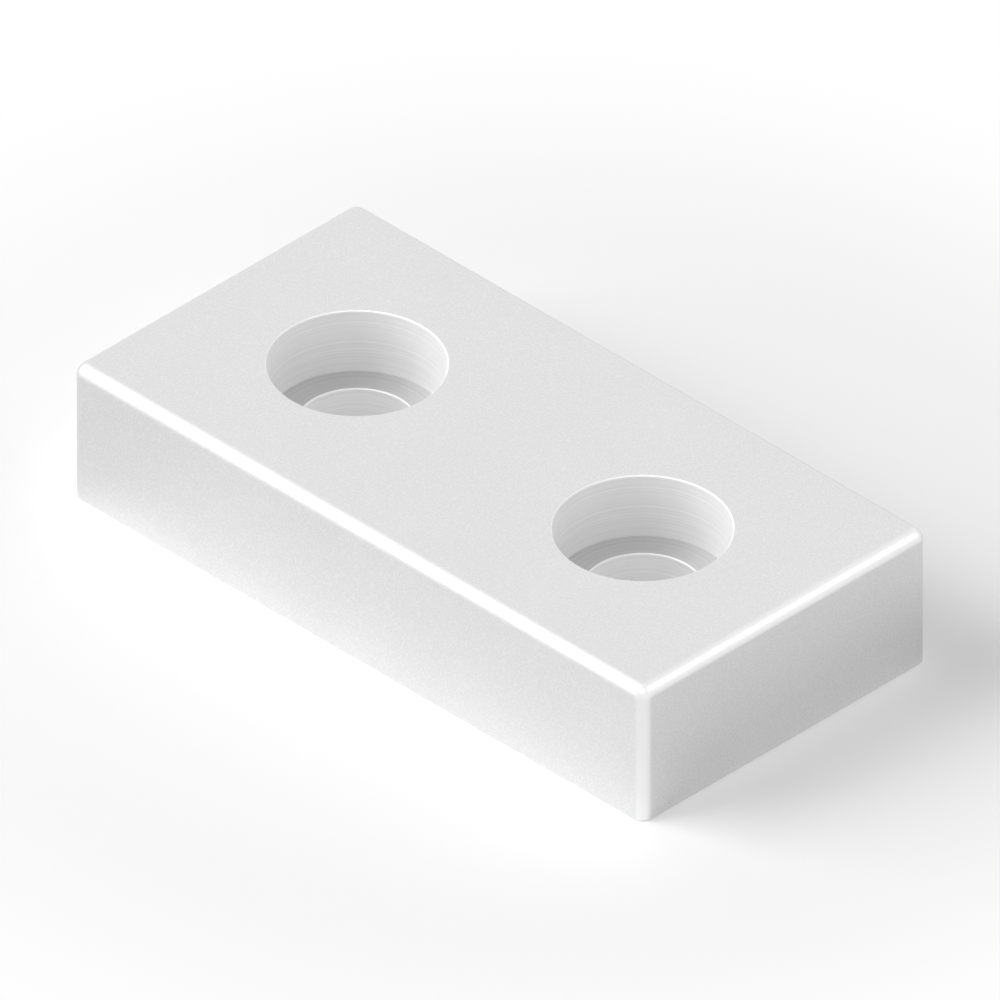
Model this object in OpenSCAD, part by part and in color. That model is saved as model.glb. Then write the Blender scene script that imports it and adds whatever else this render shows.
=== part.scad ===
// Mounting plate: a rectangular block with rounded corners and rounded top edges,
// and two counterbored screw holes in a row along its length.
// Sizes are in millimetres. The origin is the centre of the bottom face: X runs along
// the length, Y across the width, and Z up to the face with the counterbores.

/* [Plate] */
// Overall length, along X
plate_length = 60; // [48:1:160]
// Overall width, along Y
plate_width = 30; // [18:1:80]
// Overall thickness, along Z
plate_thickness = 12; // [7:0.5:40]

/* [Edges] */
// Radius of the four standing corners
corner_radius = 1; // [0.5:0.5:12]
// Radius of the round along the four top edges, above sharp bottom edges
top_edge_radius = 1; // [0.5:0.5:6]

/* [Screw holes] */
// Distance between the centres of the two holes, which sit evenly about the middle
hole_pitch = 30; // [16:1:44]
// Diameter of the holes that run right through
hole_diameter = 9; // [3:0.5:13]
// Diameter of the counterbores that take the screw heads
counterbore_diameter = 13.5; // [10:0.5:26]
// Depth of the counterbores below the top face
counterbore_depth = 5.5; // [0.5:0.5:11]

/* [Hidden] */
// Fineness of every circle and turned surface
$fn = 128;
// Length that a cutting tool reaches past the faces it breaks through
overrun = 1;
// Distances from the middle of the plate to the axes of the standing corners
corner_x = plate_length / 2 - corner_radius;
corner_y = plate_width / 2 - corner_radius;

// A quarter of a disc, in the quadrant where x and y are positive
module quarter_disc(radius) {
    intersection() {
        circle(r = radius);
        square(radius);
    }
}

// Half of an upright section that is square at the bottom and rounded at the top.
// It fills the span from x = 0 to x = reach.
module half_section(reach) {
    shoulder = plate_thickness - top_edge_radius;
    square([reach, shoulder]);
    square([reach - top_edge_radius, plate_thickness]);
    translate([reach - top_edge_radius, shoulder])
        quarter_disc(top_edge_radius);
}

// A straight bar that lies along X, with both of its long top edges rounded
module round_edged_bar(length, width) {
    rotate([90, 0, 90])
        linear_extrude(height = length, center = true)
            for (side = [0, 1])
                mirror([side, 0])
                    half_section(width / 2);
}

// The block with all four top edges rounded and its corners still standing square
module square_cornered_block() {
    intersection() {
        round_edged_bar(plate_length, plate_width);
        rotate([0, 0, 90])
            round_edged_bar(plate_width, plate_length);
    }
}

// The rounded edge carried a quarter turn about the axis of a standing corner
module turned_corner() {
    rotate_extrude(angle = 90)
        intersection() {
            square([corner_radius, plate_thickness]);
            translate([corner_radius - plate_width / 2, 0])
                half_section(plate_width / 2);
        }
}

// Puts its children at the axis of each standing corner, turned to face outwards
module at_corners() {
    for (quarter = [0 : 3]) {
        side_x = quarter == 0 || quarter == 3 ? 1 : -1;
        side_y = quarter < 2 ? 1 : -1;
        translate([side_x * corner_x, side_y * corner_y, 0])
            rotate([0, 0, 90 * quarter])
                children();
    }
}

// The blank: the square-cornered block with each corner cut away and a turned one set in
module blank() {
    difference() {
        square_cornered_block();
        at_corners()
            translate([0, 0, -overrun])
                cube([corner_radius + overrun, corner_radius + overrun, plate_thickness + 2 * overrun]);
    }
    at_corners()
        turned_corner();
}

// The cutting tool for one counterbored screw hole, on the Z axis
module counterbored_hole() {
    translate([0, 0, -overrun])
        cylinder(d = hole_diameter, h = plate_thickness + 2 * overrun);
    translate([0, 0, plate_thickness - counterbore_depth])
        cylinder(d = counterbore_diameter, h = counterbore_depth + overrun);
}

// The plate, drilled and counterbored at the two screw positions
module mounting_plate() {
    color("gainsboro")
        difference() {
            blank();
            for (side = [-1, 1])
                translate([side * hole_pitch / 2, 0, 0])
                    counterbored_hole();
        }
}

mounting_plate();
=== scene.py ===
"""Dressed model of a counterbored mounting plate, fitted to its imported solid.

The plate is one block of aluminium, bead-blasted and then clear anodised, with two
counterbored screw holes in a row along its length. Lengths are in metres, unless a
name ends in _mm.
"""

import logging
import math
from collections.abc import Mapping, Sequence
from dataclasses import dataclass, field
from enum import Enum
from typing import Any

import bpy
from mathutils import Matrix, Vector


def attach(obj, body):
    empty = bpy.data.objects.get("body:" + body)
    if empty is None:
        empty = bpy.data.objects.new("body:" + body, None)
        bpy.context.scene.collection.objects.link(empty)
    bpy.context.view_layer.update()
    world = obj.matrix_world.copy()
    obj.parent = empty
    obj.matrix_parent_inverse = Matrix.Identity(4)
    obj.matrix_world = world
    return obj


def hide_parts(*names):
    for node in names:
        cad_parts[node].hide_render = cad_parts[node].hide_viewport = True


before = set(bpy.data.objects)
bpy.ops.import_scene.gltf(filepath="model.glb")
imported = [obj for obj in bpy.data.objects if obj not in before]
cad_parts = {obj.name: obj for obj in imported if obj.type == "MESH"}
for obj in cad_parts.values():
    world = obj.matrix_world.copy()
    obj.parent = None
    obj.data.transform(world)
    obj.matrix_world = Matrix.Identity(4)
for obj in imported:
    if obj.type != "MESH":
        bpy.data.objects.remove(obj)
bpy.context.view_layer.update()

MM = 0.001
# points closer than this are one point
WELD_GAP = 1e-6
ROOT_BODY = "root"
CAD_NODE = "mounting_plate"

log = logging.getLogger("mounting_plate")

Colour = tuple[float, float, float, float]
Span = tuple[float, float]
Inputs = Mapping[int | str, Any]

WHITE: Colour = (1.0, 1.0, 1.0, 1.0)


def linear(hex_code: str) -> Colour:
    """Turn an sRGB hex colour into the linear colour that Blender takes.

    Args:
        hex_code: The colour as "#RRGGBB".

    Returns:
        Red, green, blue and an alpha of 1, all linear.
    """
    channels = [int(hex_code[start : start + 2], 16) / 255 for start in (1, 3, 5)]
    flat = [c / 12.92 if c <= 0.04045 else ((c + 0.055) / 1.055) ** 2.4 for c in channels]
    return flat[0], flat[1], flat[2], 1.0


def add_node(
    tree: bpy.types.NodeTree, kind: str, inputs: Inputs | None = None, **settings: Any
) -> bpy.types.Node:
    """Add a node with its settings, and fill or link its inputs.

    Args:
        tree: The node tree that gets the node.
        kind: Blender's name for the type of node.
        inputs: What goes into each input, by the input's place, name or identifier. A
            node stands for its first output that is in use, and a socket for itself.
        **settings: Values for the node's own properties.

    Returns:
        The new node.
    """
    node = tree.nodes.new(kind)
    for name, value in settings.items():
        setattr(node, name, value)
    by_identifier = {socket.identifier: socket for socket in node.inputs}
    for key, value in (inputs or {}).items():
        socket = by_identifier[key] if key in by_identifier else node.inputs[key]
        if isinstance(value, bpy.types.Node):
            value = next(out for out in value.outputs if out.enabled)
        if isinstance(value, bpy.types.NodeSocket):
            tree.links.new(value, socket)
        else:
            socket.default_value = value
    return node


def new_material(name: str) -> tuple[bpy.types.Material, bpy.types.NodeTree]:
    """Make an empty node material.

    Args:
        name: The material's name.

    Returns:
        The material and its node tree, with no nodes in it.
    """
    material = bpy.data.materials.new(name)
    material.use_nodes = True
    material.node_tree.nodes.clear()
    return material, material.node_tree


@dataclass(frozen=True)
class BlastedAnodising:
    """Bead-blasted aluminium under clear anodising, as on the plate's outer faces.

    Blasting with fine glass beads leaves a close, even grain of shallow dimples, and the
    clear oxide on it turns the metal a soft silver grey with a satin sheen. The rounded
    edges are a little smoother, and their colour is painted brighter, a painted highlight
    along each round. At a low angle the dimples shade one another, so a face stays grey
    there and doesn't turn to a mirror. The real dimples are about 0.08 mm across, close
    to a pixel of the render, so they are drawn twice as coarse. A slow, faint change of
    tone lies under them, where the blast was passed over the plate.
    """

    name: str = "bead_blasted_aluminium_with_painted_edge_highlight"
    deep_hex: str = "#DCDCDC"
    pale_hex: str = "#E6E6E6"
    # painted highlight: the rounds are painted this brighter tone
    edge_highlight_hex: str = "#F0F0F0"
    low_angle_hex: str = "#E0E0E0"
    dimple_mm: float = 0.17
    dimple_depth_mm: float = 0.008
    cloud_mm: float = 9.0
    cloud_share: float = 0.3
    edge_roughness: float = 0.30
    smooth_roughness: float = 0.34
    rough_roughness: float = 0.40
    # the stretch of the mottle's values that runs from the deep tone to the pale one
    tone_span: Span = (0.3, 0.95)
    # the stretch of the dimples' values that runs from smooth to rough
    dimple_span: Span = (0.1, 0.7)

    def build(self, flats: Vector, edge_radius: float) -> bpy.types.Material:
        """Make the material.

        Args:
            flats: How far the plate's flat faces reach along X, Y and Z before the
                rounds begin, from the centre of the base.
            edge_radius: The radius of the rounds.

        Returns:
            The finished material.
        """
        material, tree = new_material(self.name)
        place = add_node(tree, "ShaderNodeTexCoord").outputs["Object"]
        edge = self.add_edge_mask(tree, place, flats, edge_radius)
        cloud = add_node(
            tree,
            "ShaderNodeTexNoise",
            {"Vector": place, "Scale": 1 / (self.cloud_mm * MM), "Detail": 2.0},
        )
        dimples = add_node(
            tree,
            "ShaderNodeTexVoronoi",
            {"Vector": place, "Scale": 1 / (self.dimple_mm * MM)},
        )
        mottle = add_node(
            tree,
            "ShaderNodeMath",
            {0: cloud, 1: self.cloud_share, 2: dimples},
            operation="MULTIPLY_ADD",
        )
        tone_low, tone_high = self.tone_span
        shade = add_node(
            tree,
            "ShaderNodeMapRange",
            {"Value": mottle, "From Min": tone_low, "From Max": tone_high},
        )
        tone = add_node(
            tree,
            "ShaderNodeMix",
            {
                "Factor_Float": shade,
                "A_Color": linear(self.deep_hex),
                "B_Color": linear(self.pale_hex),
            },
            data_type="RGBA",
        )
        # painted highlight: the colour turns to the brighter edge tone along the middle of each
        # round
        highlighted_tone = add_node(
            tree,
            "ShaderNodeMix",
            {"Factor_Float": edge, "A_Color": tone, "B_Color": linear(self.edge_highlight_hex)},
            data_type="RGBA",
        )
        dimple_low, dimple_high = self.dimple_span
        rough = add_node(
            tree,
            "ShaderNodeMapRange",
            {
                "Value": dimples,
                "From Min": dimple_low,
                "From Max": dimple_high,
                "To Min": self.smooth_roughness,
                "To Max": self.rough_roughness,
            },
        )
        edged_rough = add_node(
            tree,
            "ShaderNodeMix",
            {"Factor_Float": edge, "A_Float": rough, "B_Float": self.edge_roughness},
            data_type="FLOAT",
        )
        bump = add_node(
            tree,
            "ShaderNodeBump",
            {"Height": dimples, "Distance": self.dimple_depth_mm * MM, "Strength": 1.0},
        )
        metal = add_node(
            tree,
            "ShaderNodeBsdfPrincipled",
            {
                "Base Color": highlighted_tone,
                "Metallic": 1.0,
                "Roughness": edged_rough,
                "Specular Tint": linear(self.low_angle_hex),
                "Normal": bump,
            },
        )
        add_node(tree, "ShaderNodeOutputMaterial", {"Surface": metal})
        return material

    def add_edge_mask(
        self,
        tree: bpy.types.NodeTree,
        place: bpy.types.NodeSocket,
        flats: Vector,
        edge_radius: float,
    ) -> bpy.types.Node:
        """Add the nodes that find the rounded edges.

        Past the flats in one direction only, a point lies on a flat face. Past them in
        two or three directions it lies on a round, so the products of the distances, in
        pairs, rise from nothing at the side of a round to their peak along its middle.

        Args:
            tree: The tree that gets the nodes.
            place: The socket that gives the point's place on the plate.
            flats: How far the flat faces reach along X, Y and Z.
            edge_radius: The radius of the rounds.

        Returns:
            The node that gives 0 on the flats and 1 along the middle of a round.
        """
        mirrored = add_node(tree, "ShaderNodeVectorMath", {0: place}, operation="ABSOLUTE")
        past = add_node(
            tree, "ShaderNodeVectorMath", {0: mirrored, 1: flats}, operation="SUBTRACT"
        )
        excess = add_node(tree, "ShaderNodeVectorMath", {0: past}, operation="MAXIMUM")
        axes = add_node(tree, "ShaderNodeSeparateXYZ", {"Vector": excess}).outputs
        shifted = add_node(
            tree, "ShaderNodeCombineXYZ", {"X": axes["Y"], "Y": axes["Z"], "Z": axes["X"]}
        )
        pairs = add_node(
            tree, "ShaderNodeVectorMath", {0: excess, 1: shifted}, operation="DOT_PRODUCT"
        )
        return add_node(
            tree,
            "ShaderNodeMapRange",
            {"Value": pairs.outputs["Value"], "From Max": edge_radius**2 / 2},
            interpolation_type="SMOOTHSTEP",
        )


@dataclass(frozen=True)
class TurnedAnodising:
    """Cut aluminium under clear anodising, as inside the holes.

    The cutter leaves fine rings, one for each turn, round the walls and on the seats of
    the screw heads. They break up the reflections, so the walls look softly lit right
    down to the seats, with thin bands. The deep and pale tones are given per use, and
    there they carry painted light: the walls are painted brighter and the seats darker
    than the metal is. Real rings lie about 0.1 mm apart, which is too close to show, so
    they are drawn at more than twice that. A fine grain crosses them.
    """

    name: str
    deep_hex: str
    pale_hex: str
    ring_mm: float
    ring_depth_mm: float
    smooth_roughness: float
    rough_roughness: float
    grain_mm: float = 0.35
    # how much of the relief is grain, beside the rings
    grain_share: float = 0.4
    # the stretch of the relief's values that runs from the deep tone to the pale one
    tone_span: Span = (0.4, 1.0)
    # the stretch of the grain's values that runs from smooth to rough
    grain_span: Span = (0.3, 0.7)

    def build(self, hole_pitch: float) -> bpy.types.Material:
        """Make the material.

        Args:
            hole_pitch: The distance between the axes of the two holes.

        Returns:
            The finished material.
        """
        material, tree = new_material(self.name)
        place = add_node(tree, "ShaderNodeTexCoord").outputs["Object"]
        axes = add_node(tree, "ShaderNodeSeparateXYZ", {"Vector": place}).outputs
        # both holes fold onto one axis, because they stand alike about the middle
        folded_x = add_node(tree, "ShaderNodeMath", {0: axes["X"]}, operation="ABSOLUTE")
        across = add_node(
            tree, "ShaderNodeMath", {0: folded_x, 1: hole_pitch / 2}, operation="SUBTRACT"
        )
        flat = add_node(tree, "ShaderNodeCombineXYZ", {"X": across, "Y": axes["Y"]})
        radius = add_node(tree, "ShaderNodeVectorMath", {0: flat}, operation="LENGTH")
        travel = add_node(
            tree, "ShaderNodeMath", {0: radius.outputs["Value"], 1: axes["Z"]}, operation="ADD"
        )
        rings = add_node(
            tree,
            "ShaderNodeTexNoise",
            {"W": travel, "Scale": 1 / (self.ring_mm * MM), "Detail": 1.0},
            noise_dimensions="1D",
        )
        grain = add_node(
            tree,
            "ShaderNodeTexNoise",
            {"Vector": place, "Scale": 1 / (self.grain_mm * MM), "Detail": 2.0},
        )
        relief = add_node(
            tree,
            "ShaderNodeMath",
            {0: grain, 1: self.grain_share, 2: rings},
            operation="MULTIPLY_ADD",
        )
        tone_low, tone_high = self.tone_span
        shade = add_node(
            tree,
            "ShaderNodeMapRange",
            {"Value": relief, "From Min": tone_low, "From Max": tone_high},
        )
        tone = add_node(
            tree,
            "ShaderNodeMix",
            {
                "Factor_Float": shade,
                "A_Color": linear(self.deep_hex),
                "B_Color": linear(self.pale_hex),
            },
            data_type="RGBA",
        )
        grain_low, grain_high = self.grain_span
        rough = add_node(
            tree,
            "ShaderNodeMapRange",
            {
                "Value": grain,
                "From Min": grain_low,
                "From Max": grain_high,
                "To Min": self.smooth_roughness,
                "To Max": self.rough_roughness,
            },
        )
        bump = add_node(
            tree,
            "ShaderNodeBump",
            {"Height": relief, "Distance": self.ring_depth_mm * MM, "Strength": 1.0},
        )
        metal = add_node(
            tree,
            "ShaderNodeBsdfPrincipled",
            {"Base Color": tone, "Metallic": 1.0, "Roughness": rough, "Normal": bump},
        )
        add_node(tree, "ShaderNodeOutputMaterial", {"Surface": metal})
        return material


# painted light: the walls have a fine feed, and their colour is painted brighter than the metal
# is
BORED_WALL_PAINTED_LIGHTER = TurnedAnodising(
    name="bored_aluminium_painted_lighter",
    deep_hex="#EBEBEB",
    pale_hex="#F2F2F2",
    ring_mm=0.22,
    ring_depth_mm=0.005,
    smooth_roughness=0.74,
    rough_roughness=0.82,
)
# painted shade: the seats are painted a shade darker; the cutter's end leaves coarser rings
FACED_SEAT_PAINTED_DARKER = TurnedAnodising(
    name="faced_aluminium_painted_darker",
    deep_hex="#C3C3C3",
    pale_hex="#CFCFCF",
    ring_mm=0.24,
    ring_depth_mm=0.005,
    smooth_roughness=0.42,
    rough_roughness=0.50,
)


@dataclass
class MountingPlate:
    """The plate: a block with rounded corners and top edges, and two counterbored holes.

    Every sharp edge is broken by a hair, as a deburred edge is, inside the solid's size.
    """

    length: float = 60 * MM
    width: float = 30 * MM
    thickness: float = 12 * MM
    corner_radius: float = 1 * MM
    top_edge_radius: float = 1 * MM
    hole_pitch: float = 30 * MM
    hole_diameter: float = 9 * MM
    counterbore_diameter: float = 13.5 * MM
    counterbore_depth: float = 5.5 * MM
    edge_break: float = 0.08 * MM
    corner_steps: int = 12
    hole_steps: int = 160
    # edges that fold more than this many degrees are drawn sharp
    crease_degrees: float = 30.0
    # a cut face counts as level where its normal's upright part is over this
    level_share: float = 0.9
    # the weight that lets the large flat faces set the shading where they meet the rounds
    flat_face_weight: int = 100
    # the face finish carries a painted highlight on the rounds, the wall finish painted light,
    # the seat finish painted shade
    face_finish_and_painted_highlight: BlastedAnodising = BlastedAnodising()
    wall_finish_and_painted_light: TurnedAnodising = BORED_WALL_PAINTED_LIGHTER
    seat_finish_and_painted_shade: TurnedAnodising = FACED_SEAT_PAINTED_DARKER

    def sizes(self) -> dict[str, float | int]:
        """Give the tree's named inputs and their values.

        Returns:
            Each input's name with this plate's own value for it.
        """
        return {
            "Length": self.length,
            "Width": self.width,
            "Thickness": self.thickness,
            "Corner radius": self.corner_radius,
            "Top edge radius": self.top_edge_radius,
            "Hole pitch": self.hole_pitch,
            "Hole radius": self.hole_diameter / 2,
            "Counterbore radius": self.counterbore_diameter / 2,
            "Counterbore depth": self.counterbore_depth,
            "Edge break": self.edge_break,
            "Corner steps": self.corner_steps,
            "Hole steps": self.hole_steps,
        }

    def build_tree(self) -> bpy.types.GeometryNodeTree:
        """Make the tree that models the plate from its sizes.

        Returns:
            The tree, which takes the sizes and the three finishes, with their painted
            light, as inputs.
        """
        tree = bpy.data.node_groups.new("counterbored_plate", "GeometryNodeTree")
        for name, value in self.sizes().items():
            kind = "NodeSocketInt" if isinstance(value, int) else "NodeSocketFloat"
            tree.interface.new_socket(name=name, in_out="INPUT", socket_type=kind)
        for name in ("Face finish and painted highlight", "Wall finish and painted light", "Seat finish and painted shade"):
            tree.interface.new_socket(name=name, in_out="INPUT", socket_type="NodeSocketMaterial")
        tree.interface.new_socket(name="Plate", in_out="OUTPUT", socket_type="NodeSocketGeometry")
        size = add_node(tree, "NodeGroupInput").outputs

        shell = self.add_shell(tree, size)
        linings = self.add_linings(tree, size)
        walls = add_node(tree, "GeometryNodeJoinGeometry")
        for part in (shell, linings):
            tree.links.new(part.outputs[0], walls.inputs[0])
        top, bottom = self.add_caps(tree, size, walls)
        whole = add_node(tree, "GeometryNodeJoinGeometry")
        for part in (walls, top, bottom):
            tree.links.new(part.outputs[0], whole.inputs[0])
        closed = add_node(
            tree, "GeometryNodeMergeByDistance", {"Geometry": whole, "Distance": WELD_GAP}
        )
        smooth = add_node(
            tree, "GeometryNodeSetShadeSmooth", {"Geometry": closed, "Shade Smooth": True}
        )
        fold = add_node(tree, "GeometryNodeInputMeshEdgeAngle").outputs["Unsigned Angle"]
        crease = add_node(
            tree,
            "FunctionNodeCompare",
            {0: fold, 1: math.radians(self.crease_degrees)},
            data_type="FLOAT",
            operation="GREATER_THAN",
        )
        creased = add_node(
            tree,
            "GeometryNodeSetShadeSmooth",
            {"Geometry": smooth, "Selection": crease, "Shade Smooth": False},
            domain="EDGE",
        )
        real = add_node(tree, "GeometryNodeRealizeInstances", {"Geometry": creased})
        blasted = add_node(
            tree,
            "GeometryNodeSetMaterial",
            {"Geometry": real, "Material": size["Face finish and painted highlight"]},
        )
        cut = add_node(
            tree, "GeometryNodeInputNamedAttribute", {"Name": "cut"}, data_type="BOOLEAN"
        )
        bored = add_node(
            tree,
            "GeometryNodeSetMaterial",
            {"Geometry": blasted, "Selection": cut, "Material": size["Wall finish and painted light"]},
        )
        facing = add_node(tree, "GeometryNodeInputNormal")
        upright = add_node(tree, "ShaderNodeSeparateXYZ", {"Vector": facing}).outputs["Z"]
        level = add_node(
            tree,
            "FunctionNodeCompare",
            {0: upright, 1: self.level_share},
            data_type="FLOAT",
            operation="GREATER_THAN",
        )
        seat = add_node(tree, "FunctionNodeBooleanMath", {0: cut, 1: level}, operation="AND")
        finished = add_node(
            tree,
            "GeometryNodeSetMaterial",
            {"Geometry": bored, "Selection": seat, "Material": size["Seat finish and painted shade"]},
        )
        add_node(tree, "NodeGroupOutput", {0: finished})
        return tree

    def add_shell(
        self, tree: bpy.types.GeometryNodeTree, size: bpy.types.NodeOutputs
    ) -> bpy.types.Node:
        """Add the nodes for the outer wall, carried round the four corners.

        A grid is bent into place: its columns go round the plate, with a fan of them at
        each corner, and its rows climb the section, from the broken bottom edge up the
        wall and over the rounded top edge.

        Args:
            tree: The tree that gets the nodes.
            size: The tree's named inputs.

        Returns:
            The node whose output is the wall.
        """
        steps = size["Corner steps"]
        fan = add_node(tree, "FunctionNodeIntegerMath", {0: steps, 1: 1}, operation="ADD")
        columns = add_node(
            tree, "FunctionNodeIntegerMath", {0: fan, 1: 4, 2: 1}, operation="MULTIPLY_ADD"
        )
        rows = add_node(tree, "FunctionNodeIntegerMath", {0: steps, 1: 3}, operation="ADD")
        grid = add_node(tree, "GeometryNodeMeshGrid", {"Vertices X": columns, "Vertices Y": rows})
        index = add_node(tree, "GeometryNodeInputIndex")
        column = add_node(
            tree, "FunctionNodeIntegerMath", {0: index, 1: rows}, operation="DIVIDE_FLOOR"
        )
        row = add_node(tree, "FunctionNodeIntegerMath", {0: index, 1: rows}, operation="MODULO")
        corner = add_node(
            tree, "FunctionNodeIntegerMath", {0: column, 1: fan}, operation="DIVIDE_FLOOR"
        )
        step = add_node(tree, "FunctionNodeIntegerMath", {0: column, 1: fan}, operation="MODULO")
        step_angle = add_node(
            tree, "ShaderNodeMath", {0: math.pi / 2, 1: steps}, operation="DIVIDE"
        )
        corner_angle = add_node(
            tree, "ShaderNodeMath", {0: corner, 1: math.pi / 2}, operation="MULTIPLY"
        )
        turn = add_node(
            tree,
            "ShaderNodeMath",
            {0: step, 1: step_angle, 2: corner_angle},
            operation="MULTIPLY_ADD",
        )

        # the section, as distances outwards from the corner's axis and up from the base
        inner = add_node(
            tree,
            "ShaderNodeMath",
            {0: size["Corner radius"], 1: size["Edge break"]},
            operation="SUBTRACT",
        )
        foot = add_node(tree, "ShaderNodeCombineXYZ", {"X": inner})
        heel = add_node(
            tree, "ShaderNodeCombineXYZ", {"X": size["Corner radius"], "Z": size["Edge break"]}
        )
        climb = add_node(tree, "FunctionNodeIntegerMath", {0: 2, 1: row}, operation="SUBTRACT")
        climb_angle = add_node(
            tree, "ShaderNodeMath", {0: climb, 1: step_angle}, operation="MULTIPLY"
        )
        spoke = add_node(tree, "ShaderNodeCombineXYZ", {"X": size["Top edge radius"]})
        lifted = add_node(
            tree,
            "ShaderNodeVectorRotate",
            {"Vector": spoke, "Angle": climb_angle},
            rotation_type="Y_AXIS",
        )
        hub_out = add_node(
            tree,
            "ShaderNodeMath",
            {0: size["Corner radius"], 1: size["Top edge radius"]},
            operation="SUBTRACT",
        )
        hub_up = add_node(
            tree,
            "ShaderNodeMath",
            {0: size["Thickness"], 1: size["Top edge radius"]},
            operation="SUBTRACT",
        )
        hub = add_node(tree, "ShaderNodeCombineXYZ", {"X": hub_out, "Z": hub_up})
        rounded = add_node(tree, "ShaderNodeVectorMath", {0: hub, 1: lifted}, operation="ADD")
        section = self.add_choice(tree, row, (foot, heel, rounded))

        outward = add_node(
            tree,
            "ShaderNodeVectorRotate",
            {"Vector": section, "Angle": turn},
            rotation_type="Z_AXIS",
        )
        footprint = add_node(
            tree, "ShaderNodeCombineXYZ", {"X": size["Length"], "Y": size["Width"]}
        )
        half = add_node(
            tree, "ShaderNodeVectorMath", {0: footprint, "Scale": 0.5}, operation="SCALE"
        )
        inset = add_node(
            tree,
            "ShaderNodeCombineXYZ",
            {"X": size["Corner radius"], "Y": size["Corner radius"]},
        )
        reach = add_node(
            tree, "ShaderNodeVectorMath", {0: half, 1: inset}, operation="SUBTRACT"
        )
        quadrant = add_node(
            tree,
            "ShaderNodeVectorRotate",
            {"Vector": (1.0, 1.0, 0.0), "Angle": corner_angle},
            rotation_type="Z_AXIS",
        )
        axis = add_node(
            tree, "ShaderNodeVectorMath", {0: quadrant, 1: reach}, operation="MULTIPLY"
        )
        place = add_node(tree, "ShaderNodeVectorMath", {0: axis, 1: outward}, operation="ADD")
        return add_node(
            tree, "GeometryNodeSetPosition", {"Geometry": grid, "Position": place}
        )

    def add_choice(
        self,
        tree: bpy.types.GeometryNodeTree,
        row: bpy.types.Node,
        points: Sequence[bpy.types.Node],
    ) -> bpy.types.Node:
        """Add the nodes that give each row of a grid its point of the section.

        Args:
            tree: The tree that gets the nodes.
            row: The node that gives the row's number.
            points: The section's points from the first row up. The last one also serves
                every row above its own.

        Returns:
            The node that gives the row's point.
        """
        held = add_node(
            tree, "FunctionNodeIntegerMath", {0: row, 1: len(points) - 1}, operation="MINIMUM"
        )
        choice = add_node(tree, "GeometryNodeIndexSwitch", data_type="VECTOR")
        while len(choice.index_switch_items) < len(points):
            choice.index_switch_items.new()
        tree.links.new(held.outputs[0], choice.inputs["Index"])
        for number, point in enumerate(points):
            tree.links.new(point.outputs[0], choice.inputs[number + 1])
        return choice

    def add_linings(
        self, tree: bpy.types.GeometryNodeTree, size: bpy.types.NodeOutputs
    ) -> bpy.types.Node:
        """Add the nodes for the walls of the two counterbored holes.

        One hole's section is turned about its axis, and the result is set on a row of
        two points at the hole pitch.

        Args:
            tree: The tree that gets the nodes.
            size: The tree's named inputs.

        Returns:
            The node whose output is both holes' walls.
        """
        rim, hole, bore = size["Edge break"], size["Hole radius"], size["Counterbore radius"]
        hole_rim = add_node(tree, "ShaderNodeMath", {0: hole, 1: rim}, operation="ADD")
        bore_rim = add_node(tree, "ShaderNodeMath", {0: bore, 1: rim}, operation="ADD")
        seat = add_node(
            tree,
            "ShaderNodeMath",
            {0: size["Thickness"], 1: size["Counterbore depth"]},
            operation="SUBTRACT",
        )
        below_seat = add_node(tree, "ShaderNodeMath", {0: seat, 1: rim}, operation="SUBTRACT")
        below_top = add_node(
            tree, "ShaderNodeMath", {0: size["Thickness"], 1: rim}, operation="SUBTRACT"
        )
        corners = (
            {"X": hole_rim},
            {"X": hole, "Z": rim},
            {"X": hole, "Z": below_seat},
            {"X": hole_rim, "Z": seat},
            {"X": bore, "Z": seat},
            {"X": bore, "Z": below_top},
            {"X": bore_rim, "Z": size["Thickness"]},
        )
        points = [add_node(tree, "ShaderNodeCombineXYZ", corner) for corner in corners]

        around = add_node(
            tree, "FunctionNodeIntegerMath", {0: size["Hole steps"], 1: 1}, operation="ADD"
        )
        grid = add_node(
            tree, "GeometryNodeMeshGrid", {"Vertices X": around, "Vertices Y": len(points)}
        )
        index = add_node(tree, "GeometryNodeInputIndex")
        column = add_node(
            tree, "FunctionNodeIntegerMath", {0: index, 1: len(points)}, operation="DIVIDE_FLOOR"
        )
        row = add_node(
            tree, "FunctionNodeIntegerMath", {0: index, 1: len(points)}, operation="MODULO"
        )
        step_angle = add_node(
            tree, "ShaderNodeMath", {0: math.tau, 1: size["Hole steps"]}, operation="DIVIDE"
        )
        turn = add_node(
            tree, "ShaderNodeMath", {0: column, 1: step_angle}, operation="MULTIPLY"
        )
        place = add_node(
            tree,
            "ShaderNodeVectorRotate",
            {"Vector": self.add_choice(tree, row, points), "Angle": turn},
            rotation_type="Z_AXIS",
        )
        lining = add_node(
            tree, "GeometryNodeSetPosition", {"Geometry": grid, "Position": place}
        )
        inward = add_node(tree, "GeometryNodeFlipFaces", {"Mesh": lining})
        marked = add_node(
            tree,
            "GeometryNodeStoreNamedAttribute",
            {"Geometry": inward, "Name": "cut", "Value": True},
            data_type="BOOLEAN",
            domain="FACE",
        )
        first = add_node(
            tree, "ShaderNodeMath", {0: size["Hole pitch"], 1: -0.5}, operation="MULTIPLY"
        )
        start = add_node(tree, "ShaderNodeCombineXYZ", {"X": first})
        stride = add_node(tree, "ShaderNodeCombineXYZ", {"X": size["Hole pitch"]})
        positions = add_node(
            tree,
            "GeometryNodeMeshLine",
            {"Count": 2, "Start Location": start, "Offset": stride},
        )
        pair = add_node(
            tree, "GeometryNodeInstanceOnPoints", {"Points": positions, "Instance": marked}
        )
        return add_node(tree, "GeometryNodeRealizeInstances", {"Geometry": pair})

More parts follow.
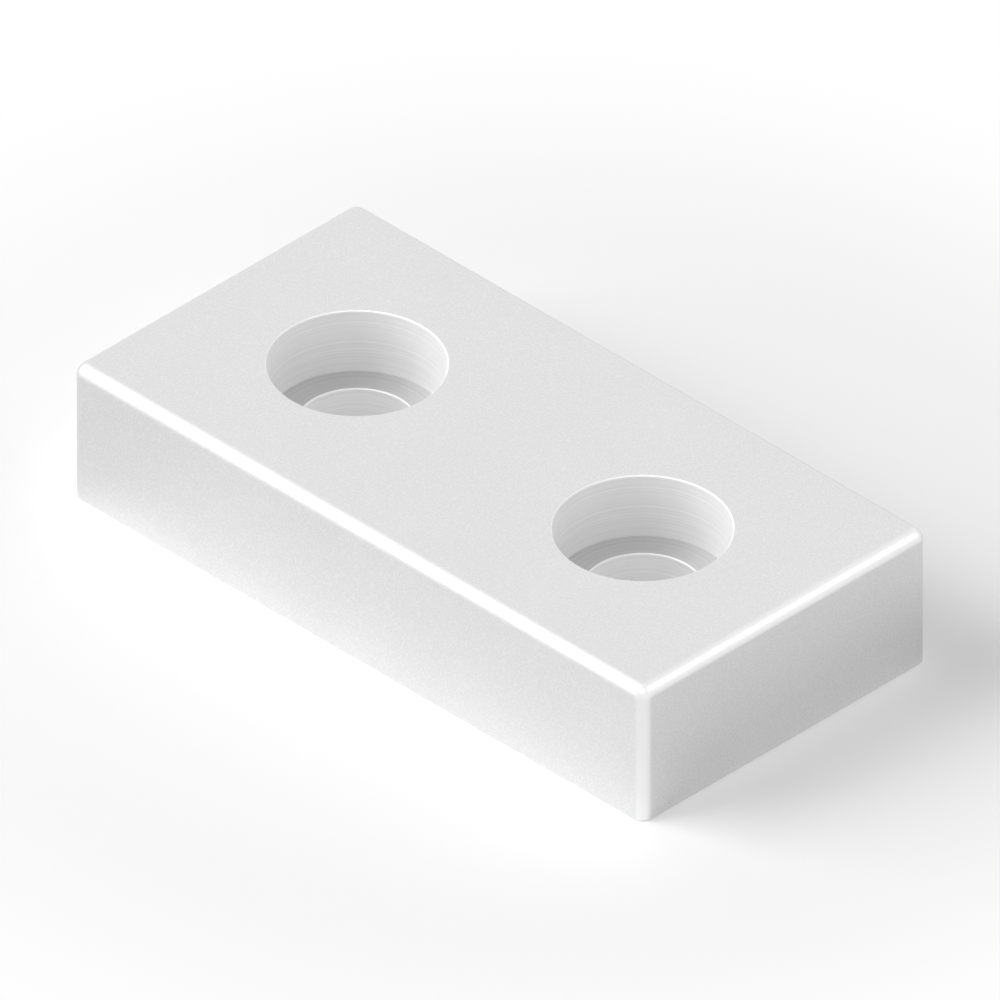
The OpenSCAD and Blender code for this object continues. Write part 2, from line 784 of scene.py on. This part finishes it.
    def add_caps(
        self,
        tree: bpy.types.GeometryNodeTree,
        size: bpy.types.NodeOutputs,
        walls: bpy.types.Node,
    ) -> tuple[bpy.types.Node, bpy.types.Node]:
        """Add the nodes for the flat top and bottom faces, filled between the open rims.

        Args:
            tree: The tree that gets the nodes.
            size: The tree's named inputs.
            walls: The node that gives the outer wall and the holes' walls, joined and
                still open at both ends.

        Returns:
            The nodes whose outputs are the top face and the bottom face.
        """
        welded = add_node(
            tree, "GeometryNodeMergeByDistance", {"Geometry": walls, "Distance": WELD_GAP}
        )
        sides = add_node(tree, "GeometryNodeInputMeshEdgeNeighbors")
        rim = add_node(
            tree, "FunctionNodeCompare", {2: sides, 3: 1}, data_type="INT", operation="EQUAL"
        )
        where = add_node(tree, "GeometryNodeInputPosition")
        height = add_node(tree, "ShaderNodeSeparateXYZ", {"Vector": where}).outputs["Z"]
        middle = add_node(
            tree, "ShaderNodeMath", {0: size["Thickness"], 1: 0.5}, operation="MULTIPLY"
        )
        faces = []
        for side, level in (("GREATER_THAN", size["Thickness"]), ("LESS_THAN", 0.0)):
            end = add_node(
                tree,
                "FunctionNodeCompare",
                {0: height, 1: middle},
                data_type="FLOAT",
                operation=side,
            )
            picked = add_node(
                tree, "FunctionNodeBooleanMath", {0: rim, 1: end}, operation="AND"
            )
            loops = add_node(
                tree, "GeometryNodeMeshToCurve", {"Mesh": welded, "Selection": picked}
            )
            filled = add_node(tree, "GeometryNodeFillCurve", {"Curve": loops}, mode="TRIANGLES")
            lift = add_node(tree, "ShaderNodeCombineXYZ", {"Z": level})
            faces.append(
                add_node(
                    tree, "GeometryNodeTransform", {"Geometry": filled, "Translation": lift}
                )
            )
        top, bottom = faces
        return top, add_node(tree, "GeometryNodeFlipFaces", {"Mesh": bottom})

    def build(self) -> bpy.types.Object:
        """Model the plate and dress it.

        Returns:
            The finished piece, a plain mesh in the frame's own place.
        """
        tree = self.build_tree()
        block = bpy.data.objects.new("plate_blank", bpy.data.meshes.new("plate_blank"))
        bpy.context.scene.collection.objects.link(block)
        shape = block.modifiers.new("plate", "NODES")
        shape.node_group = tree
        flats = Vector(
            (
                self.length / 2 - self.corner_radius,
                self.width / 2 - self.corner_radius,
                self.thickness - self.top_edge_radius,
            )
        )
        values: dict[str, Any] = {
            **self.sizes(),
            "Face finish and painted highlight": self.face_finish_and_painted_highlight.build(flats, self.corner_radius),
            "Wall finish and painted light": self.wall_finish_and_painted_light.build(self.hole_pitch),
            "Seat finish and painted shade": self.seat_finish_and_painted_shade.build(self.hole_pitch),
        }
        for socket in tree.interface.items_tree:
            if socket.in_out == "INPUT":
                shape[socket.identifier] = values[socket.name]
        shading = block.modifiers.new("face_shading", "WEIGHTED_NORMAL")
        shading.weight = self.flat_face_weight
        shading.keep_sharp = True
        graph = bpy.context.evaluated_depsgraph_get()
        mesh = bpy.data.meshes.new_from_object(
            block.evaluated_get(graph), preserve_all_data_layers=True, depsgraph=graph
        )
        bpy.data.objects.remove(block)
        piece = bpy.data.objects.new("anodised_plate", mesh)
        mesh.name = piece.name
        bpy.context.scene.collection.objects.link(piece)
        return piece


class Softbox(Enum):
    """The studio's lamps: the way to each from the plate, its side and its power."""

    KEY = ((-0.80, -0.80, 0.88), 0.95, 12.0)
    RIM = ((0.90, 0.80, 0.90), 0.40, 0.66)
    FRONT = ((0.80, -0.80, 1.30), 0.60, 0.7)

    @property
    def way(self) -> Vector:
        """Give the direction from the plate to the lamp."""
        return Vector(self.value[0]).normalized()

    @property
    def side(self) -> float:
        """Give the length of the lamp's side."""
        return self.value[1]

    @property
    def power(self) -> float:
        """Give the lamp's power in watts."""
        return self.value[2]


@dataclass
class Studio:
    """A white sweep under soft lamps, and a camera in exact isometric view."""

    floor_side: float = 3.0
    lamp_distance: float = 1.2
    ambient: float = 0.25
    # the point in the middle of the view, and the view's width, frame the plate as drawn
    target: Vector = field(default_factory=lambda: Vector((0.012, 0.012, 7.047)) * MM)
    view_width: float = 74.27 * MM
    camera_way: Vector = field(default_factory=lambda: Vector((1, -1, 1)).normalized())
    camera_distance: float = 0.5
    clip_start: float = 0.01
    clip_end: float = 5.0
    sweep_hex: str = "#F6F6F6"
    sweep_glow: float = 0.22
    # distances from the plate's middle between which the floor turns to plain white
    fade_start: float = 0.040
    fade_end: float = 0.072

    def build(self) -> None:
        """Set up the floor, the world, the lamps and the camera."""
        self.build_floor()
        self.build_world()
        for lamp in Softbox:
            self.build_lamp(lamp)
        self.build_camera()
        bpy.context.scene.view_settings.view_transform = "Standard"

    def build_floor(self) -> None:
        """Lay the floor, which keeps the plate's shadow and turns to plain white beyond."""
        half = self.floor_side / 2
        mesh = bpy.data.meshes.new("studio_floor")
        corners = [(-half, -half, 0), (half, -half, 0), (half, half, 0), (-half, half, 0)]
        mesh.from_pydata(corners, [], [(0, 1, 2, 3)])
        floor = bpy.data.objects.new("studio_floor", mesh)
        bpy.context.scene.collection.objects.link(floor)
        material, tree = new_material("matt_white_sweep")
        paper = add_node(
            tree, "ShaderNodeBsdfDiffuse", {"Color": linear(self.sweep_hex), "Roughness": 0.0}
        )
        glow = add_node(
            tree, "ShaderNodeEmission", {"Color": WHITE, "Strength": self.sweep_glow}
        )
        near = add_node(tree, "ShaderNodeAddShader", {0: paper, 1: glow})
        beyond = add_node(tree, "ShaderNodeEmission", {"Color": WHITE, "Strength": 1.0})
        place = add_node(tree, "ShaderNodeTexCoord").outputs["Object"]
        distance = add_node(
            tree, "ShaderNodeVectorMath", {0: place}, operation="LENGTH"
        ).outputs["Value"]
        fade = add_node(
            tree,
            "ShaderNodeMapRange",
            {"Value": distance, "From Min": self.fade_start, "From Max": self.fade_end},
            interpolation_type="SMOOTHSTEP",
        )
        shown = add_node(tree, "ShaderNodeMixShader", {0: fade, 1: near, 2: beyond})
        seen = self.add_seen(tree)
        mixed = add_node(tree, "ShaderNodeMixShader", {0: seen, 1: paper, 2: shown})
        add_node(tree, "ShaderNodeOutputMaterial", {"Surface": mixed})
        mesh.materials.append(material)

    def build_world(self) -> None:
        """Fill the world with soft light, which the camera and the metal see as white."""
        world = bpy.data.worlds.new("studio_world")
        world.use_nodes = True
        tree = world.node_tree
        tree.nodes.clear()
        fill = add_node(tree, "ShaderNodeBackground", {"Color": WHITE, "Strength": self.ambient})
        shown = add_node(tree, "ShaderNodeBackground", {"Color": WHITE, "Strength": 1.0})
        seen = self.add_seen(tree)
        mixed = add_node(tree, "ShaderNodeMixShader", {0: seen, 1: fill, 2: shown})
        add_node(tree, "ShaderNodeOutputWorld", {"Surface": mixed})
        bpy.context.scene.world = world

    def add_seen(self, tree: bpy.types.NodeTree) -> bpy.types.Node:
        """Add the nodes that tell whether the camera or a shiny surface is looking.

        Args:
            tree: The tree that gets the nodes.

        Returns:
            The node that gives 1 for those rays and 0 for the others.
        """
        rays = add_node(tree, "ShaderNodeLightPath").outputs
        glossy = add_node(
            tree,
            "ShaderNodeMath",
            {0: rays["Is Camera Ray"], 1: rays["Is Glossy Ray"]},
            operation="MAXIMUM",
        )
        return add_node(
            tree,
            "ShaderNodeMath",
            {0: glossy, 1: rays["Is Transmission Ray"]},
            operation="MAXIMUM",
        )

    def build_lamp(self, lamp: Softbox) -> None:
        """Hang one softbox, facing the plate.

        Args:
            lamp: Which softbox to hang.
        """
        light = bpy.data.lights.new(f"{lamp.name.lower()}_softbox", "AREA")
        light.shape = "SQUARE"
        light.size = lamp.side
        light.energy = lamp.power
        holder = bpy.data.objects.new(light.name, light)
        holder.location = lamp.way * self.lamp_distance
        holder.rotation_euler = (-lamp.way).to_track_quat("-Z", "Y").to_euler()
        bpy.context.scene.collection.objects.link(holder)

    def build_camera(self) -> None:
        """Set the camera up for an isometric view, framed as the drawing is."""
        data = bpy.data.cameras.new("isometric_camera")
        data.type = "ORTHO"
        data.ortho_scale = self.view_width
        data.clip_start = self.clip_start
        data.clip_end = self.clip_end
        camera = bpy.data.objects.new(data.name, data)
        camera.location = self.target + self.camera_way * self.camera_distance
        camera.rotation_euler = (-self.camera_way).to_track_quat("-Z", "Y").to_euler()
        bpy.context.scene.collection.objects.link(camera)
        bpy.context.scene.camera = camera


def main() -> None:
    """Build the studio and the plate."""
    logging.basicConfig(level=logging.INFO, format="%(name)s: %(message)s")
    Studio().build()
    plate = MountingPlate().build()
    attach(plate, ROOT_BODY)
    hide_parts(CAD_NODE)
    log.info("%s: %d faces", plate.name, len(plate.data.polygons))


if __name__ == "__main__":
    main()
